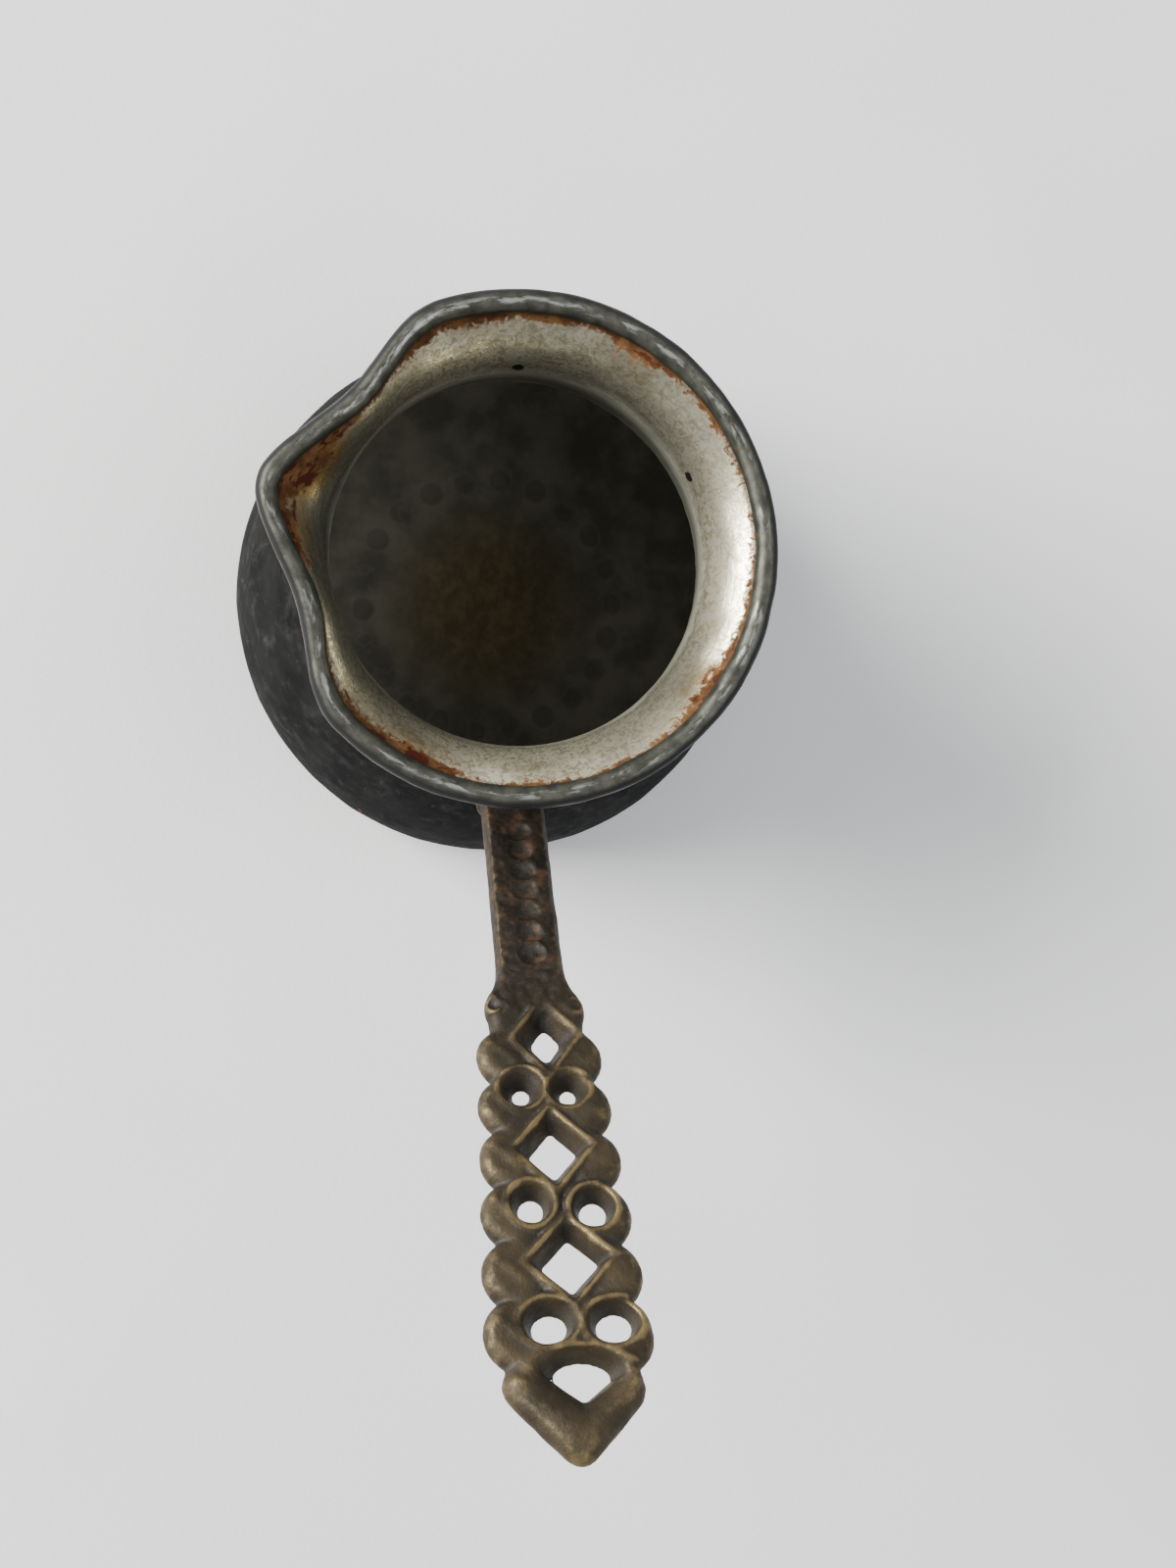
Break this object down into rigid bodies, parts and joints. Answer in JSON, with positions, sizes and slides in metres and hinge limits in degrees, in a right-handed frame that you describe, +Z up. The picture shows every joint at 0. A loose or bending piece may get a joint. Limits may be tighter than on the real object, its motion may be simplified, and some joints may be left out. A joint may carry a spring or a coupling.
{
  "type": "turkish coffee pot cezve",
  "caption": "Small wide-based copper coffee pot with a narrow neck, flared rolled rim, pinched side lip and a rising pierced brass handle.",
  "frame": {"origin": "centre of the underside of the base, on the surface that the pot stands on", "axes": "+Z up along the pot's axis, -Y towards the handle's tip, the pouring lip points roughly to -X"},
  "size_m": [0.1, 0.1687, 0.139],
  "materials": {
    "tinned_copper": "dark slate patina outside, worn mottled tin inside",
    "iron_wire": "dull dark iron",
    "cast_brass": "brown patina with golden wear on raised edges",
    "copper_rivet": "dull dark copper"
  },
  "bodies": {
    "root": {"pot_shell": "tinned_copper", "rim_wire": "iron_wire", "handle": "cast_brass", "handle_rivets": "copper_rivet"}
  },
  "joints": []
}
